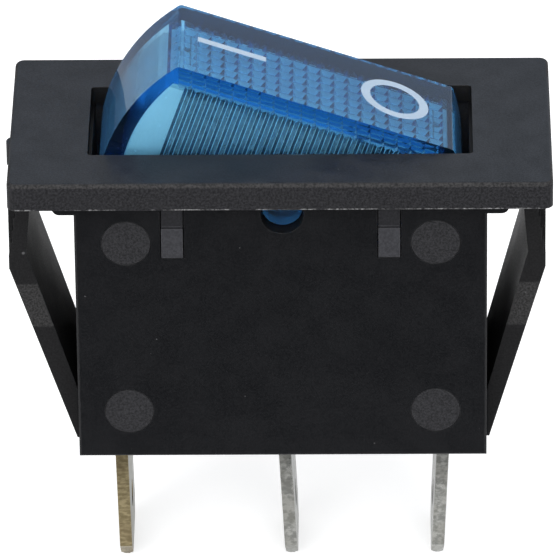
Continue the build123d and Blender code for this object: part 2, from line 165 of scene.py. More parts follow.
def axes(tree, vector):
    node = addNode(tree, "ShaderNodeSeparateXYZ")
    wire(tree, vector, node.inputs[0])
    return node.outputs[0], node.outputs[1], node.outputs[2]


def facing(tree):
    # which way the surface faces, along the part's axes
    coords = addNode(tree, "ShaderNodeTexCoord")
    return axes(tree, coords.outputs["Normal"])


def newGroup(name, inputs, outputs):
    group = bpy.data.node_groups.new(name, "ShaderNodeTree")
    for label, kind, value in inputs:
        socket = group.interface.new_socket(label, in_out="INPUT", socket_type=kind)
        if value is not None:
            socket.default_value = value
    for label, kind in outputs:
        group.interface.new_socket(label, in_out="OUTPUT", socket_type=kind)
    start = addNode(group, "NodeGroupInput")
    end = addNode(group, "NodeGroupOutput")
    return group, start.outputs, end.inputs


def useGroup(tree, group, **values):
    node = addNode(tree, "ShaderNodeGroup", node_tree=group)
    for name, value in values.items():
        feed(tree, node.inputs[name], value)
    return node.outputs


grainLook = {
    "pitDetail": 3.0, "pitRoughness": 0.65, "pitRange": (0.34, 0.66), "pitShare": 0.7,
    "swellScale": 0.55, "swellRange": (0.3, 0.7),
}


def makeGrainGroup():
    # spark-eroded mould texture: fine pits over a softer swell
    group, given, result = newGroup(
        "mouldGrain",
        [("Place", "NodeSocketVector", None), ("Size", "NodeSocketFloat", 0.12)],
        [("Height", "NodeSocketFloat"), ("Tone", "NodeSocketFloat")])
    scale = maths(group, "DIVIDE", 1.0, given["Size"])
    pits = noise(group, given["Place"], scale, grainLook["pitDetail"], grainLook["pitRoughness"])
    swell = noise(group, given["Place"], grainLook["swellScale"])
    share = grainLook["pitShare"]
    pitTone = times(group, ramp(group, pits, *grainLook["pitRange"]), share)
    swellTone = times(group, ramp(group, swell, *grainLook["swellRange"]), 1 - share)
    wire(group, pits, result["Height"])
    wire(group, plus(group, pitTone, swellTone), result["Tone"])
    return group


edgeLook = {
    "radius": 0.09, "wornFrom": 0.995, "wornTo": 0.86,
    "chipScale": 2.2, "chipDetail": 4.0, "chipRange": (0.35, 0.6),
}


def makeEdgeGroup():
    # worn, slightly rounded edges with a painted highlight: the rounded normal and where it departs from the
    # flat one
    group, given, result = newGroup(
        "edgeWearAndHighlight",
        [("Place", "NodeSocketVector", None), ("Breakup", "NodeSocketFloat", 0.5)],
        [("Mask", "NodeSocketFloat"), ("Normal", "NodeSocketVector")])
    rounded = addNode(group, "ShaderNodeBevel", samples=4)
    rounded.inputs["Radius"].default_value = edgeLook["radius"] * mm
    geometry = addNode(group, "ShaderNodeNewGeometry")
    same = addNode(group, "ShaderNodeVectorMath", operation="DOT_PRODUCT")
    wire(group, rounded.outputs["Normal"], same.inputs[0])
    wire(group, geometry.outputs["Normal"], same.inputs[1])
    edge = ramp(group, same.outputs["Value"], edgeLook["wornFrom"], edgeLook["wornTo"])
    patches = noise(group, given["Place"], edgeLook["chipScale"], edgeLook["chipDetail"])
    patches = times(group, ramp(group, patches, *edgeLook["chipRange"]), given["Breakup"])
    whole = maths(group, "SUBTRACT", 1.0, given["Breakup"])
    wire(group, times(group, edge, plus(group, whole, patches, clamp=True)), result["Mask"])
    wire(group, rounded.outputs["Normal"], result["Normal"])
    return group


smallestSpeck = 0.35  # as a share of the given size


def makeDustGroup():
    # a few pale specks, each with its own size
    group, given, result = newGroup(
        "dustSpecks",
        [("Place", "NodeSocketVector", None), ("Spacing", "NodeSocketFloat", 1.6),
         ("Size", "NodeSocketFloat", 0.06), ("Share", "NodeSocketFloat", 0.3)],
        [("Mask", "NodeSocketFloat")])
    cells = addNode(group, "ShaderNodeTexVoronoi", voronoi_dimensions="3D", feature="F1")
    wire(group, given["Place"], cells.inputs["Vector"])
    wire(group, maths(group, "DIVIDE", 1.0, given["Spacing"]), cells.inputs["Scale"])
    reach = times(group, cells.outputs["Distance"], given["Spacing"])
    pick = addNode(group, "ShaderNodeSeparateColor")
    wire(group, cells.outputs["Color"], pick.inputs[0])
    size = times(group, given["Size"], plus(group, pick.outputs[1], smallestSpeck))
    spot = maths(group, "LESS_THAN", reach, size)
    chosen = maths(group, "LESS_THAN", pick.outputs[0], given["Share"])
    wire(group, times(group, spot, chosen), result["Mask"])
    return group


rolledLook = {
    "stretch": (6.0, 6.0, 0.35), "lineScale": 1.6, "lineDetail": 4.0,
    "cloudScale": 0.8, "cloudDetail": 5.0, "cloudRange": (0.4, 0.65),
}


def makeRolledGroup():
    # long rolling lines in strip metal, with tarnish clouds
    group, given, result = newGroup(
        "rolledStrip",
        [("Place", "NodeSocketVector", None), ("Tarnish", "NodeSocketFloat", 0.5)],
        [("Line", "NodeSocketFloat"), ("Cloud", "NodeSocketFloat")])
    along = stretched(group, given["Place"], rolledLook["stretch"])
    wire(group, noise(group, along, rolledLook["lineScale"], rolledLook["lineDetail"]), result["Line"])
    clouds = noise(group, given["Place"], rolledLook["cloudScale"], rolledLook["cloudDetail"])
    clouds = ramp(group, clouds, *rolledLook["cloudRange"])
    wire(group, times(group, clouds, given["Tarnish"]), result["Cloud"])
    return group


well = {"halfLength": 11.45, "halfWidth": 4.3, "farWall": 5.1, "uprightBelow": 0.5}


def makeWallGroup():
    # upright faces, and those of them round the rocker, where light and shade from the rocker are painted
    group, given, result = newGroup(
        "wellWalls",
        [("Place", "NodeSocketVector", None), ("HalfWidth", "NodeSocketFloat", well["halfWidth"])],
        [("Upright", "NodeSocketFloat"), ("Mask", "NodeSocketFloat")])
    x, y, _ = axes(group, given["Place"])
    _, _, facingUp = facing(group)
    upright = below(group, amount(group, facingUp), well["uprightBelow"], soft=0.2)
    beyond = maths(group, "SUBTRACT", amount(group, y), given["HalfWidth"])
    within = times(group, below(group, amount(group, x), well["halfLength"]), below(group, beyond, 0.0))
    wire(group, upright, result["Upright"])
    wire(group, times(group, within, upright), result["Mask"])
    return group


grainGroup = makeGrainGroup()
edgeGroup = makeEdgeGroup()
dustGroup = makeDustGroup()
rolledGroup = makeRolledGroup()
wallGroup = makeWallGroup()
print("shared effects ready")


def newMaterial(name):
    material = bpy.data.materials.new(name)
    material.use_nodes = True
    tree = material.node_tree
    tree.nodes.clear()
    output = addNode(tree, "ShaderNodeOutputMaterial")
    shader = addNode(tree, "ShaderNodeBsdfPrincipled")
    wire(tree, shader.outputs["BSDF"], output.inputs["Surface"])
    return material, tree, shader


def outputOf(tree):
    return next(node for node in tree.nodes if node.type == "OUTPUT_MATERIAL")


def bumpTo(tree, shader, height, strength, distance, normal=None):
    bump = addNode(tree, "ShaderNodeBump")
    bump.inputs["Strength"].default_value = strength
    bump.inputs["Distance"].default_value = distance * mm
    wire(tree, height, bump.inputs["Height"])
    if normal is not None:
        wire(tree, normal, bump.inputs["Normal"])
    wire(tree, bump.outputs["Normal"], shader.inputs["Normal"])


def dress(node, material):
    item = frame["nodes"][node]
    item.data.materials.clear()
    item.data.materials.append(material)


def blackPlastic(name, look, zones=None):
    # black moulded plastic; zones(tree, place) lists masks, each with the name of the tones that lie there
    material, tree, shader = newMaterial(name)
    place = placeInMm(tree)
    grain = useGroup(tree, grainGroup, Place=place, Size=look["grainSize"])
    edges = useGroup(tree, edgeGroup, Place=place, Breakup=look["edgeBreakup"])
    dust = useGroup(tree, dustGroup, Place=place, Spacing=look["dustSpacing"], Size=look["dustSize"],
                    Share=look["dustShare"])
    colour = blendColour(tree, grain["Tone"], rgba(look["dark"]), rgba(look["light"]))
    rough = ramp(tree, grain["Tone"], 0.0, 1.0, *look["rough"])
    if zones is not None:
        coarse = useGroup(tree, grainGroup, Place=place, Size=look["zoneGrainSize"])
        flecks = ramp(tree, coarse["Height"], *look["zoneGrainRange"])
        for mask, zone in zones(tree, place):
            dark, light, rougher = look[zone]
            tone = blendColour(tree, flecks, rgba(dark), rgba(light))
            colour = blendColour(tree, mask, colour, tone)
            rough = plus(tree, rough, times(tree, mask, rougher), clamp=True)
    # worn edges lightened, partly a painted edge highlight
    wornAndLit = times(tree, edges["Mask"], look["edgeAmount"])
    colour = blendColour(tree, wornAndLit, colour, rgba(look["edgeColour"]))
    colour = blendColour(tree, dust["Mask"], colour, rgba(look["dustColour"]))
    wire(tree, colour, shader.inputs["Base Color"])
    wire(tree, rough, shader.inputs["Roughness"])
    shader.inputs["Specular IOR Level"].default_value = look["specular"]
    bumpTo(tree, shader, grain["Height"], look["bump"], look["bumpDepth"], edges["Normal"])
    return material


bezelLook = {
    "dark": (0.0065, 0.0088, 0.0125), "light": (0.0370, 0.0412, 0.0498),
    "grainSize": 0.10, "rough": (0.42, 0.56), "specular": 0.2, "bump": 0.35, "bumpDepth": 0.02,
    "edgeColour": (0.085, 0.086, 0.09), "edgeAmount": 0.55, "edgeBreakup": 0.6,
    "dustSpacing": 1.7, "dustSize": 0.05, "dustShare": 0.16, "dustColour": (0.11, 0.11, 0.11),
    # zones: dark tone, light tone, added roughness
    # painted shade on the window's walls round the rocker
    "well": ((0.004, 0.0043, 0.0048), (0.007, 0.0073, 0.0078), 0.1),
    "rim": ((0.007, 0.0072, 0.0085), (0.0245, 0.0245, 0.0275), 0.1),
    # painted highlight along the rim's rounded crest
    "crest": ((0.012, 0.012, 0.013), (0.042, 0.041, 0.042), 0.1),
    # painted highlight: a broken pale line along the rim's foot
    "footHighlight": ((0.012, 0.012, 0.013), (0.26, 0.26, 0.26), 0.1),
    # painted shade on the latch tabs' upper part under the rim, painted light on their lower ends
    "tab": ((0.013, 0.0133, 0.0155), (0.021, 0.0213, 0.0245), 0.1),
    "tabEnd": ((0.024, 0.0243, 0.0280), (0.038, 0.0385, 0.0440), 0.1),
    "zoneGrainSize": 0.14, "zoneGrainRange": (0.32, 0.68),
    "outerFrom": 5.3, "crestDepth": 0.24, "crestTurn": 0.93, "rimFoot": -0.02, "footHighlightHeight": 0.07,
    "footHighlightScale": 1.1, "footHighlightDetail": 3.0, "footHighlightRange": (0.45, 0.62), "tabTop": -0.1, "tabEndTop": -2.1,
}


def bezelZones(tree, place):
    # the rim's sides, its crest with a painted highlight, a broken painted highlight along its foot, the
    # latch tabs with painted shade above a painted-lit lower end, and the window's walls in painted shade
    _, y, z = axes(tree, place)
    _, _, facingUp = facing(tree)
    walls = useGroup(tree, wallGroup, Place=place, HalfWidth=well["halfWidth"])
    outer = above(tree, amount(tree, y), bezelLook["outerFrom"])
    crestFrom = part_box("bezel_frame")[1].z / mm - bezelLook["crestDepth"]
    turning = below(tree, facingUp, bezelLook["crestTurn"])
    # painted highlight along the rim's foot, broken into patches
    foot = below(tree, amount(tree, z), bezelLook["footHighlightHeight"], soft=0.02)
    patches = noise(tree, place, bezelLook["footHighlightScale"], bezelLook["footHighlightDetail"])
    patches = ramp(tree, patches, *bezelLook["footHighlightRange"])
    return [
        (times(tree, walls["Upright"], above(tree, z, bezelLook["rimFoot"], soft=0.02)), "rim"),
        # painted highlight along the rim's crest
        (times(tree, above(tree, z, crestFrom, soft=0.04), turning, outer), "crest"),
        # painted highlight along the rim's foot
        (times(tree, foot, outer, patches), "footHighlight"),
        # painted shade on the latch tabs, painted light on their lower ends
        (below(tree, z, bezelLook["tabTop"]), "tab"),
        (below(tree, z, bezelLook["tabEndTop"]), "tabEnd"),
        # painted shade on the window's walls
        (walls["Mask"], "well"),
    ]


bodyLook = {
    "dark": (0.0039, 0.0043, 0.0053), "light": (0.0080, 0.0084, 0.0098),
    "grainSize": 0.09, "rough": (0.40, 0.52), "specular": 0.17, "bump": 0.3, "bumpDepth": 0.02,
    "edgeColour": (0.05, 0.05, 0.052), "edgeAmount": 0.5, "edgeBreakup": 0.75,
    "dustSpacing": 1.3, "dustSize": 0.07, "dustShare": 0.3, "dustColour": (0.065, 0.065, 0.067),
    # zones: dark tone, light tone, added roughness
    # painted light on the housing's walls round the rocker, stronger lower down
    "wellTop": ((0.030, 0.031, 0.033), (0.045, 0.046, 0.048), 0.1),
    "well": ((0.09, 0.093, 0.097), (0.13, 0.133, 0.137), 0.1),
    # painted highlight on the right wing's inner faces
    "wingLit": ((0.11, 0.11, 0.111), (0.20, 0.20, 0.202), -0.04),
    "peg": ((0.0115, 0.0116, 0.013), (0.029, 0.029, 0.032), 0.1),
    "wing": ((0.0065, 0.0065, 0.0070), (0.0135, 0.0135, 0.0143), 0.1),
    "wingPatch": ((0.010, 0.0098, 0.010), (0.040, 0.0395, 0.040), 0.1),
    # painted light on the wings' inner and outer faces
    "wingInside": ((0.012, 0.012, 0.013), (0.022, 0.022, 0.023), -0.04),
    "wingOutside": ((0.014, 0.014, 0.014), (0.055, 0.055, 0.056), 0.0),
    "zoneGrainSize": 0.126, "zoneGrainRange": (0.32, 0.68),
    "wingFrom": 12.3, "patchTop": -7.2, "patchFoot": -10.1, "litFoot": -8.6,
    "wellTopFrom": 0.2, "wellFrom": -2.0, "pegProud": 0.03, "frontTurn": -0.7, "sideTurn": 0.5,
}


def housingZones(tree, place):
    # cut-off peg ends, the wings with a rough patch on their fronts and painted light on their inner and
    # outer faces, a painted highlight inside the right wing, and painted light on the walls round the rocker
    x, y, z = axes(tree, place)
    facingX, facingY, _ = facing(tree)
    wings = above(tree, amount(tree, x), bodyLook["wingFrom"])
    band = times(tree, below(tree, z, bodyLook["patchTop"], soft=0.1),
                 above(tree, z, bodyLook["patchFoot"], soft=0.1))
    front = below(tree, facingY, bodyLook["frontTurn"])
    outward = times(tree, facingX, maths(tree, "SIGN", x))
    inward = times(tree, wings, below(tree, outward, -bodyLook["sideTurn"]))
    walls = useGroup(tree, wallGroup, Place=place, HalfWidth=well["halfWidth"])["Mask"]
    allWalls = useGroup(tree, wallGroup, Place=place, HalfWidth=well["farWall"])["Mask"]
    return [
        (below(tree, y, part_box("side_cover")[0].y / mm + bodyLook["pegProud"], soft=0.02), "peg"),
        (wings, "wing"),
        (times(tree, band, wings, front), "wingPatch"),
        # painted light on the wings' inner faces, a painted highlight inside the right wing, painted light on
        # their outer faces
        (inward, "wingInside"),
        (times(tree, inward, above(tree, x, 0.0), above(tree, z, bodyLook["litFoot"], soft=1.3)), "wingLit"),
        (times(tree, wings, above(tree, outward, bodyLook["sideTurn"])), "wingOutside"),
        # painted light on the walls round the rocker
        (times(tree, allWalls, below(tree, z, bodyLook["wellTopFrom"], soft=0.3)), "wellTop"),
        (times(tree, walls, below(tree, z, bodyLook["wellFrom"], soft=0.5)), "well"),
    ]


dress("bezel_frame", blackPlastic("bezelPlastic", bezelLook, bezelZones))
dress("housing", blackPlastic("housingPlastic", bodyLook, housingZones))
dress("side_cover", blackPlastic("coverPlastic", bodyLook))
print("black mouldings dressed")


hinge = next(joint for joint in frame["joints"] if joint["name"] == "rocker_hinge")
rocker = {
    "pivot": [hinge["pos_m"][k] / mm for k in (0, 2)],
    "tilt": (hinge["range_deg"][1] - hinge["range_deg"][0]) / 2,
    # the lens in its own level frame, measured from the pivot
    "top": 6.2, "halfWidth": 3.9, "endDrop": 0.45, "endRadius": 10.83, "wall": 0.35, "ribsBelow": 4.2,
}


def insideLens(tree, place):
    # masks for the prisms and ribs within the lens, nought on its outer faces, and for the ribs alone
    x, y, z = axes(tree, place)
    turn = math.radians(rocker["tilt"])
    across = maths(tree, "SUBTRACT", x, rocker["pivot"][0])
    up = maths(tree, "SUBTRACT", z, rocker["pivot"][1])
    along = maths(tree, "SUBTRACT", times(tree, across, math.cos(turn)), times(tree, up, math.sin(turn)))
    height = plus(tree, times(tree, across, math.sin(turn)), times(tree, up, math.cos(turn)))
    lifted = plus(tree, height, rocker["endDrop"])
    reach = maths(tree, "SQRT", plus(tree, times(tree, along, along), times(tree, lifted, lifted)))
    inside = times(tree, below(tree, height, rocker["top"] - rocker["wall"]),
                   below(tree, amount(tree, y), rocker["halfWidth"] - rocker["wall"]),
                   below(tree, reach, rocker["endRadius"] - rocker["wall"]))
    return inside, times(tree, inside, below(tree, height, rocker["ribsBelow"]))


lensLook = {
    "colour": (0.90, 1.0, 1.0), "deepColour": (0.828, 0.95, 0.97),
    "swellScale": 0.35, "swellRange": (0.3, 0.7),
    "absorbs": (0.58, 0.25, 0.085),  # share of each colour taken in each millimetre, as an exponent
    "ior": 1.44, "haze": 0.15, "hazeRough": 0.6, "hazeTint": (0.16, 0.5, 1.0),
    "rough": (0.02, 0.08), "insideRough": 0.10, "ribRough": 0.10, "pinRough": 0.35, "pinFrom": 0.05,
    "scuffScale": 1.8, "scuffDetail": 5.0, "scuffRange": (0.35, 0.75), "scuffBump": 0.04, "bumpDepth": 0.02,
    "dustSpacing": 0.9, "dustSize": 0.045, "dustShare": 0.1, "dustRough": 0.4,
}


def lensPlastic():
    # clear plastic that owes its blue to the dye in its thickness
    material, tree, shader = newMaterial("lensBlue")
    place = placeInMm(tree)
    dust = useGroup(tree, dustGroup, Place=place, Spacing=lensLook["dustSpacing"], Size=lensLook["dustSize"],
                    Share=lensLook["dustShare"])
    scuffs = noise(tree, place, lensLook["scuffScale"], lensLook["scuffDetail"])
    inside, ribs = insideLens(tree, place)
    _, across, _ = axes(tree, place)
    pins = above(tree, amount(tree, across), rocker["halfWidth"] + lensLook["pinFrom"])
    rough = ramp(tree, scuffs, *lensLook["scuffRange"], *lensLook["rough"])
    rough = plus(tree, rough, times(tree, dust["Mask"], lensLook["dustRough"]), clamp=True)
    rough = plus(tree, rough, times(tree, pins, lensLook["pinRough"]))
    rough = plus(tree, rough, times(tree, inside, lensLook["insideRough"]))
    rough = plus(tree, rough, times(tree, ribs, lensLook["ribRough"]), clamp=True)
    swell = ramp(tree, noise(tree, place, lensLook["swellScale"]), *lensLook["swellRange"])
    colour = blendColour(tree, swell, rgba(lensLook["deepColour"]), rgba(lensLook["colour"]))
    wire(tree, colour, shader.inputs["Base Color"])
    wire(tree, rough, shader.inputs["Roughness"])
    shader.inputs["Transmission Weight"].default_value = 1.0
    shader.inputs["IOR"].default_value = lensLook["ior"]
    shader.inputs["Sheen Weight"].default_value = lensLook["haze"]
    shader.inputs["Sheen Roughness"].default_value = lensLook["hazeRough"]
    shader.inputs["Sheen Tint"].default_value = rgba(lensLook["hazeTint"])
    bumpTo(tree, shader, scuffs, lensLook["scuffBump"], lensLook["bumpDepth"])
    dye = addNode(tree, "ShaderNodeVolumeAbsorption")
    strongest = max(lensLook["absorbs"])
    dye.inputs["Color"].default_value = rgba([1 - share / strongest for share in lensLook["absorbs"]])
    dye.inputs["Density"].default_value = strongest / mm
    wire(tree, dye.outputs[0], outputOf(tree).inputs["Volume"])
    return material


def plainPlastic(name, look):
    material, tree, shader = newMaterial(name)
    place = placeInMm(tree)
    grain = useGroup(tree, grainGroup, Place=place, Size=look["grainSize"])
    edges = useGroup(tree, edgeGroup, Place=place, Breakup=look["edgeBreakup"])
    colour = blendColour(tree, grain["Tone"], rgba(look["dark"]), rgba(look["light"]))
    wire(tree, colour, shader.inputs["Base Color"])
    wire(tree, ramp(tree, grain["Tone"], 0.0, 1.0, *look["rough"]), shader.inputs["Roughness"])
    shader.inputs["Specular IOR Level"].default_value = look["specular"]
    bumpTo(tree, shader, grain["Height"], look["bump"], look["bumpDepth"], edges["Normal"])
    return material


carrierLook = {
    "dark": (0.80, 0.81, 0.80), "light": (0.88, 0.88, 0.87), "rough": (0.44, 0.56),
    "specular": 0.4, "grainSize": 0.15, "edgeBreakup": 0.5, "bump": 0.15, "bumpDepth": 0.02,
}
plungerLook = {
    "dark": (0.62, 0.61, 0.57), "light": (0.70, 0.69, 0.65), "rough": (0.39, 0.51),
    "specular": 0.4, "grainSize": 0.15, "edgeBreakup": 0.5, "bump": 0.15, "bumpDepth": 0.02,
}
bulbLook = {
    "dark": (0.86, 0.84, 0.80), "light": (0.93, 0.92, 0.90), "hazeScale": 1.5, "hazeRange": (0.3, 0.7),
    "rough": (0.02, 0.1), "transmission": 0.6, "ior": 1.5,
}


def bulbGlass():
    material, tree, shader = newMaterial("lampGlass")
    haze = noise(tree, placeInMm(tree), bulbLook["hazeScale"])
    colour = blendColour(tree, haze, rgba(bulbLook["dark"]), rgba(bulbLook["light"]))
    wire(tree, colour, shader.inputs["Base Color"])
    wire(tree, ramp(tree, haze, *bulbLook["hazeRange"], *bulbLook["rough"]), shader.inputs["Roughness"])
    shader.inputs["Transmission Weight"].default_value = bulbLook["transmission"]
    shader.inputs["IOR"].default_value = bulbLook["ior"]
    return material


resistorLook = {
    "body": (0.50, 0.40, 0.24), "bands": ((0.35, 0.05, 0.02), (0.02, 0.02, 0.02), (0.55, 0.30, 0.02)),
    "firstBand": 0.9, "bandPitch": 0.6, "bandWidth": 0.28,
    "bandEdge": 0.03, "grainSize": 0.1, "rough": (0.3, 0.45), "bump": 0.15, "bumpDepth": 0.02,
}


def resistorPaint():
    # lacquered body with three colour bands
    material, tree, shader = newMaterial("resistorPaint")
    place = placeInMm(tree)
    x, _, _ = axes(tree, place)
    colour = rgba(resistorLook["body"])
    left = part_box("lamp_resistor")[0].x / mm + resistorLook["firstBand"]
    soft = resistorLook["bandEdge"]
    for band in resistorLook["bands"]:
        right = left + resistorLook["bandWidth"]
        mask = times(tree, above(tree, x, left, soft), below(tree, x, right, soft))
        colour = blendColour(tree, mask, colour, rgba(band))
        left += resistorLook["bandPitch"]
    grain = useGroup(tree, grainGroup, Place=place, Size=resistorLook["grainSize"])
    wire(tree, colour, shader.inputs["Base Color"])
    wire(tree, ramp(tree, grain["Tone"], 0.0, 1.0, *resistorLook["rough"]), shader.inputs["Roughness"])
    bumpTo(tree, shader, grain["Height"], resistorLook["bump"], resistorLook["bumpDepth"])
    return material


# what all the metals share
metalLook = {
    "edgeBreakup": 0.4, "edgeAmount": 0.5, "cutTurn": 0.6, "gritDetail": 4.0, "gritRange": (0.36, 0.64),
    "lineRange": (0.3, 0.7), "tarnishRough": 0.15, "lineRelief": 0.5, "gritRelief": 1.2,
    "bump": 0.4, "bumpDepth": 0.03,
}


def stripMetal(name, look):
    # stamped strip: plated faces, and cut edges that show the strip's own colour
    material, tree, shader = newMaterial(name)
    place = placeInMm(tree)
    rolled = useGroup(tree, rolledGroup, Place=place, Tarnish=look["tarnish"])
    edges = useGroup(tree, edgeGroup, Place=place, Breakup=metalLook["edgeBreakup"])
    _, facingY, _ = facing(tree)
    cut = above(tree, amount(tree, facingY), metalLook["cutTurn"], soft=0.2)
    face = blendColour(tree, rolled["Line"], rgba(look["faceDark"]), rgba(look["faceLight"]))
    grit = noise(tree, stretched(tree, place, look["grit"]), 1.0, metalLook["gritDetail"])
    chopped = blendColour(tree, ramp(tree, grit, *metalLook["gritRange"]), rgba(look["cutDark"]),
                          rgba(look["cutLight"]))
    colour = blendColour(tree, cut, face, chopped)
    colour = blendColour(tree, rolled["Cloud"], colour, rgba(look["tarnishColour"]))
    # worn edges lightened, partly a painted edge highlight
    wornAndLit = times(tree, edges["Mask"], metalLook["edgeAmount"])
    colour = blendColour(tree, wornAndLit, colour, rgba(look["edge"]))
    rough = ramp(tree, rolled["Line"], *metalLook["lineRange"], *look["rough"])
    rough = plus(tree, rough, times(tree, rolled["Cloud"], metalLook["tarnishRough"]), clamp=True)
    relief = plus(tree, times(tree, rolled["Line"], metalLook["lineRelief"]),
                  times(tree, cut, times(tree, grit, metalLook["gritRelief"])))
    wire(tree, colour, shader.inputs["Base Color"])
    wire(tree, rough, shader.inputs["Roughness"])
    shader.inputs["Metallic"].default_value = 1.0
    bumpTo(tree, shader, relief, metalLook["bump"], metalLook["bumpDepth"], edges["Normal"])
    return material


brassLook = {
    "faceDark": (0.26, 0.27, 0.25), "faceLight": (0.40, 0.40, 0.36),
    "cutDark": (0.185, 0.150, 0.082), "cutLight": (0.33, 0.275, 0.160), "edge": (0.52, 0.45, 0.30),
    "tarnish": 0.35, "tarnishColour": (0.16, 0.12, 0.07), "rough": (0.26, 0.42), "grit": (2.2, 2.2, 5.0),
}
tinLook = {
    "faceDark": (0.36, 0.37, 0.36), "faceLight": (0.50, 0.50, 0.48),
    "cutDark": (0.22, 0.223, 0.210), "cutLight": (0.39, 0.39, 0.368), "edge": (0.62, 0.62, 0.60),
    "tarnish": 0.3, "tarnishColour": (0.20, 0.19, 0.16), "rough": (0.24, 0.40), "grit": (3.0, 3.0, 4.5),
}
springLook = {
    "faceDark": (0.34, 0.34, 0.34), "faceLight": (0.48, 0.48, 0.48),
    "cutDark": (0.34, 0.34, 0.34), "cutLight": (0.48, 0.48, 0.48), "edge": (0.6, 0.6, 0.6),
    "tarnish": 0.1, "tarnishColour": (0.2, 0.2, 0.2), "rough": (0.17, 0.33), "grit": (1.5, 1.5, 1.5),
}
silverLook = {
    "faceDark": (0.55, 0.54, 0.52), "faceLight": (0.70, 0.69, 0.67),
    "cutDark": (0.55, 0.54, 0.52), "cutLight": (0.70, 0.69, 0.67), "edge": (0.8, 0.8, 0.78),
    "tarnish": 0.3, "tarnishColour": (0.3, 0.28, 0.24), "rough": (0.22, 0.38), "grit": (1.5, 1.5, 1.5),
}
copperLook = {
    "faceDark": (0.50, 0.36, 0.18), "faceLight": (0.62, 0.46, 0.25),
    "cutDark": (0.45, 0.32, 0.16), "cutLight": (0.58, 0.42, 0.22), "edge": (0.7, 0.55, 0.33),
    "tarnish": 0.3, "tarnishColour": (0.2, 0.12, 0.06), "rough": (0.25, 0.41), "grit": (1.5, 1.5, 1.5),
}

dressing = [
    (lensPlastic(), ["rocker_lens"]),
    (plainPlastic("carrierWhite", carrierLook), ["lamp_carrier", "lamp_diffuser"]),
    (bulbGlass(), ["lamp_bulb"]),
    (resistorPaint(), ["lamp_resistor"]),
    (plainPlastic("plungerNylon", plungerLook), ["plunger"]),
    (stripMetal("brassStrip", brassLook), ["terminal_lamp"]),
    (stripMetal("tinnedStrip", tinLook),
     ["terminal_line", "terminal_load", "lamp_lead_left", "lamp_lead_right", "lamp_link"]),
    (stripMetal("springSteel", springLook), ["lamp_spring_left", "lamp_spring_right", "plunger_spring"]),
    (stripMetal("contactSilver", silverLook), ["moving_contact", "fixed_contact"]),
    (stripMetal("contactCopper", copperLook), ["contact_blade", "lamp_contact_left", "lamp_contact_right"]),
]
for material, nodes in dressing:
    for node in nodes:
        dress(node, material)
print("metals, lens and lamp dressed")


def squashSpring(node):
    # gives the coil a mesh of its own
    spring = frame["nodes"][node]
    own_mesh(spring)


squashSpring("lamp_spring_left")
squashSpring("plunger_spring")


marks = {
    "thickness": 0.02, "barMiddle": (-5.28, 0.23), "barLength": 4.25, "barWidth": 0.53,
    "ringMiddle": (4.88, 0.13), "ringRadius": 2.11, "ringWidth": 0.57, "ringSteps": 96,
    "dark": (0.38, 0.50, 0.64), "light": (0.47, 0.58, 0.71), "grainSize": 0.12,
    "rough": (0.4, 0.55), "bump": 0.2, "bumpDepth": 0.01,
}
tilt = Matrix.Rotation(math.radians(rocker["tilt"]), 4, "Y")
rockerPlace = Matrix.Translation((rocker["pivot"][0] * mm, 0, rocker["pivot"][1] * mm)) @ tilt


def onRocker(u, v, height):
    # a point over the rocker's top, in the rocker's own level frame
    return rockerPlace @ (Vector((u, v, rocker["top"] + height)) * mm)


def inkMaterial():
    material, tree, shader = newMaterial("whiteInk")
    grain = useGroup(tree, grainGroup, Place=placeInMm(tree), Size=marks["grainSize"])
    colour = blendColour(tree, grain["Tone"], rgba(marks["dark"]), rgba(marks["light"]))
    wire(tree, colour, shader.inputs["Base Color"])
    wire(tree, ramp(tree, grain["Tone"], 0.0, 1.0, *marks["rough"]), shader.inputs["Roughness"])
    bumpTo(tree, shader, grain["Height"], marks["bump"], marks["bumpDepth"])
    return material


def objectFrom(form, name, material):
    data = bpy.data.meshes.new(name)
    form.normal_update()
    form.to_mesh(data)
    form.free()
    thing = bpy.data.objects.new(name, data)
    bpy.context.scene.collection.objects.link(thing)
    data.materials.append(material)
    return thing


def printedPiece(form, name, ink):
    piece = objectFrom(form, name, ink)
    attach(piece, "rocker")


def makeRing(ink):
    form = bmesh.new()
    middleU, middleV = marks["ringMiddle"]
    steps = marks["ringSteps"]
    outer = marks["ringRadius"]
    inner = outer - marks["ringWidth"]
    rows = []
    for radius, height in ((outer, 0), (outer, marks["thickness"]), (inner, marks["thickness"]), (inner, 0)):
        row = []
        for k in range(steps):
            angle = 2 * math.pi * k / steps
            u, v = middleU + radius * math.cos(angle), middleV + radius * math.sin(angle)
            row.append(form.verts.new(onRocker(u, v, height)))
        rows.append(row)
    for first, second in zip(rows, rows[1:] + rows[:1]):
        for k in range(steps):
            n = (k + 1) % steps
            form.faces.new((first[k], first[n], second[n], second[k]))
    printedPiece(form, "mark_ring", ink)


def makeBar(ink):
    form = bmesh.new()
    middleU, middleV = marks["barMiddle"]
    bmesh.ops.create_cube(form, size=1.0)
    for vert in form.verts:
        vert.co = onRocker(middleU + vert.co.x * marks["barLength"], middleV + vert.co.y * marks["barWidth"],
                           (vert.co.z + 0.5) * marks["thickness"])
    printedPiece(form, "mark_bar", ink)


ink = inkMaterial()
makeRing(ink)
makeBar(ink)
print("marks printed")


floorLook = {
    "half": 1200, "drop": 0.02, "colour": (0.86, 0.86, 0.86), "rough": 0.9, "glow": 0.3, "glowSeen": 0.5,
}


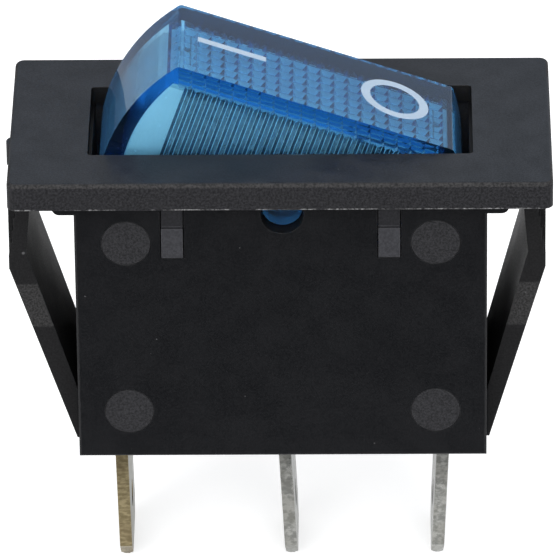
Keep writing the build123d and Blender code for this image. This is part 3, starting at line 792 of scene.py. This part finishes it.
def makeFloor():
    # pale paper; the camera, gloss and glass see it brighter than it is, so that it meets the white backdrop
    material, tree, shader = newMaterial("floorPaper")
    shader.inputs["Base Color"].default_value = rgba(floorLook["colour"])
    shader.inputs["Roughness"].default_value = floorLook["rough"]
    shader.inputs["Specular IOR Level"].default_value = 0.0
    light = addNode(tree, "ShaderNodeLightPath")
    glow = addNode(tree, "ShaderNodeEmission")
    strength = ramp(tree, light.outputs["Is Camera Ray"], 0.0, 1.0, floorLook["glow"], floorLook["glowSeen"])
    seen = maths(tree, "MAXIMUM", light.outputs["Is Camera Ray"], light.outputs["Is Glossy Ray"])
    seen = maths(tree, "MAXIMUM", seen, light.outputs["Is Transmission Ray"])
    total = addNode(tree, "ShaderNodeAddShader")
    choose = addNode(tree, "ShaderNodeMixShader")
    wire(tree, strength, glow.inputs["Strength"])
    wire(tree, shader.outputs["BSDF"], total.inputs[0])
    wire(tree, glow.outputs[0], total.inputs[1])
    wire(tree, seen, choose.inputs[0])
    wire(tree, shader.outputs["BSDF"], choose.inputs[1])
    wire(tree, total.outputs[0], choose.inputs[2])
    wire(tree, choose.outputs[0], outputOf(tree).inputs["Surface"])
    form = bmesh.new()
    bmesh.ops.create_grid(form, x_segments=1, y_segments=1, size=floorLook["half"] * mm)
    floor = objectFrom(form, "floor", material)
    floor.location.z = cadBox[0][2] - floorLook["drop"] * mm


mattBounce = 0.5  # a ray's diffuse depth is above this once it has left a matt surface
cardLook = {
    "blackShade": 0.01, "greyShade": 0.3,
    "front": {"near": 15, "far": 245, "half": 150},
    "side": {"away": 60, "deep": 60, "high": 70},
    "back": {"left": -70, "right": -12, "away": 30, "low": -20, "high": 14},
    "glare": {"left": -700, "right": 600, "away": -450, "low": -20, "high": 700},
}


def cardMaterial(name, shade):
    # dark to what is looked at, clear to the light that falls on the parts
    material, tree, shader = newMaterial(name)
    shader.inputs["Base Color"].default_value = rgba((shade, shade, shade))
    shader.inputs["Roughness"].default_value = 1.0
    shader.inputs["Specular IOR Level"].default_value = 0.0
    light = addNode(tree, "ShaderNodeLightPath")
    clear = addNode(tree, "ShaderNodeBsdfTransparent")
    choose = addNode(tree, "ShaderNodeMixShader")
    wire(tree, maths(tree, "GREATER_THAN", light.outputs["Diffuse Depth"], mattBounce), choose.inputs[0])
    wire(tree, shader.outputs["BSDF"], choose.inputs[1])
    wire(tree, clear.outputs[0], choose.inputs[2])
    wire(tree, choose.outputs[0], outputOf(tree).inputs["Surface"])
    return material


def makeCard(name, cloth, corners, seenByGlass, seenByGloss):
    # card that no camera sees: it keeps the white of one side out of the lens or off the gloss
    form = bmesh.new()
    form.faces.new([form.verts.new(Vector(corner) * mm) for corner in corners])
    card = objectFrom(form, name, cloth)
    card.visible_camera = False
    card.visible_diffuse = False
    card.visible_shadow = False
    card.visible_glossy = seenByGloss
    card.visible_transmission = seenByGlass


def makeCards():
    black = cardMaterial("blackCloth", cardLook["blackShade"])
    grey = cardMaterial("greyCloth", cardLook["greyShade"])
    ground = cadBox[0][2] / mm
    near, far, half = (cardLook["front"][key] for key in ("near", "far", "half"))
    makeCard("frontFlag", black, [(-half, -near, ground), (half, -near, ground), (half, -far, ground),
                                  (-half, -far, ground)], True, True)
    away, deep, high = (cardLook["side"][key] for key in ("away", "deep", "high"))
    for name, x in (("leftFlag", -away), ("rightFlag", away)):
        makeCard(name, black, [(x, -deep, ground), (x, deep, ground), (x, deep, high), (x, -deep, high)],
                 True, False)
    for name, card in (("backFlag", cardLook["back"]), ("glareFlag", cardLook["glare"])):
        y = card["away"]
        makeCard(name, grey, [(card["left"], y, card["low"]), (card["right"], y, card["low"]),
                              (card["right"], y, card["high"]), (card["left"], y, card["high"])], False, True)


worldLook = {
    "fill": (0.74, 0.75, 0.77), "seen": (0.60, 0.63, 0.67), "backdrop": (1.0, 1.0, 1.0),
    "left": 0.2, "dimFrom": -0.7, "dimTo": -0.15,
    "throughFront": (2.2, 2.65, 2.8), "throughBack": (0.34, 0.40, 0.42), "throughRange": (-0.55, 0.3),
}


def makeWorld():
    world = bpy.data.worlds.new("studio")
    bpy.context.scene.world = world
    world.use_nodes = True
    tree = world.node_tree
    tree.nodes.clear()
    output = addNode(tree, "ShaderNodeOutputWorld")
    background = addNode(tree, "ShaderNodeBackground")
    light = addNode(tree, "ShaderNodeLightPath")
    camera = light.outputs["Is Camera Ray"]
    seen = maths(tree, "MAXIMUM", light.outputs["Is Glossy Ray"], light.outputs["Is Transmission Ray"])
    coords = addNode(tree, "ShaderNodeTexCoord")
    toLeft, toBack, _ = axes(tree, coords.outputs["Generated"])
    colour = blendColour(tree, seen, rgba(worldLook["fill"]), rgba(worldLook["seen"]))
    # the parts inside the lens are lit through it, from the front more than from the back
    inward = blendColour(tree, ramp(tree, toBack, *worldLook["throughRange"]),
                         rgba(worldLook["throughFront"]), rgba(worldLook["throughBack"]))
    within = times(tree, light.outputs["Is Transmission Ray"],
                   maths(tree, "GREATER_THAN", light.outputs["Diffuse Depth"], mattBounce))
    colour = blendColour(tree, within, colour, inward)
    colour = blendColour(tree, camera, colour, rgba(worldLook["backdrop"]))
    # the left is dimmer, but not to the camera nor within the lens
    side = ramp(tree, toLeft, worldLook["dimFrom"], worldLook["dimTo"], worldLook["left"], 1.0)
    side = maths(tree, "MAXIMUM", side, maths(tree, "MAXIMUM", within, camera))
    wire(tree, colour, background.inputs["Color"])
    wire(tree, side, background.inputs["Strength"])
    wire(tree, background.outputs[0], output.inputs["Surface"])


# softboxes in metres and watts
lampLook = {
    "keyLight": {"place": (-0.20, -0.15, 0.55), "target": (0, 0, 0), "size": (0.4, 0.4), "power": 0.7},
    "frontLight": {
        "place": (-0.12, -0.65, 0.34), "target": (0, 0, -0.005), "size": (1.1, 0.62), "power": 6.7,
    },
}


def addSoftbox(name, look):
    light = bpy.data.lights.new(name, "AREA")
    light.shape = "RECTANGLE"
    light.size, light.size_y = look["size"]
    light.energy = look["power"]
    lamp = bpy.data.objects.new(name, light)
    lamp.location = look["place"]
    toTarget = Vector(look["target"]) - Vector(look["place"])
    lamp.rotation_euler = toTarget.to_track_quat("-Z", "Y").to_euler()
    lamp.visible_transmission = False
    bpy.context.scene.collection.objects.link(lamp)


# place, lens and sensor in millimetres, clip in metres, turns in degrees: yaw to the right, pitch down
cameraLook = {
    "place": (5.62, -418.91, 230.48), "yaw": -0.789, "pitch": 29.775, "roll": -0.652,
    "lens": 517.6, "sensor": 36, "clip": (0.01, 10),
}


def makeCamera():
    yaw, pitch, roll = (math.radians(cameraLook[key]) for key in ("yaw", "pitch", "roll"))
    ahead = Vector((math.sin(yaw) * math.cos(pitch), math.cos(yaw) * math.cos(pitch), -math.sin(pitch)))
    right = Vector((math.cos(yaw), -math.sin(yaw), 0))
    up = right.cross(ahead)
    turnedRight = math.cos(roll) * right + math.sin(roll) * up
    turnedUp = math.cos(roll) * up - math.sin(roll) * right
    data = bpy.data.cameras.new("camera")
    data.sensor_width = cameraLook["sensor"]
    data.lens = cameraLook["lens"]
    data.clip_start, data.clip_end = cameraLook["clip"]
    camera = bpy.data.objects.new("camera", data)
    turn = Matrix((turnedRight, turnedUp, -ahead)).transposed().to_4x4()
    camera.matrix_world = Matrix.Translation(Vector(cameraLook["place"]) * mm) @ turn
    bpy.context.scene.collection.objects.link(camera)
    bpy.context.scene.camera = camera


makeFloor()
makeCards()
makeWorld()
for name, look in lampLook.items():
    addSoftbox(name, look)
makeCamera()
bpy.context.scene.view_settings.view_transform = "Standard"
print("stage, light and camera set")
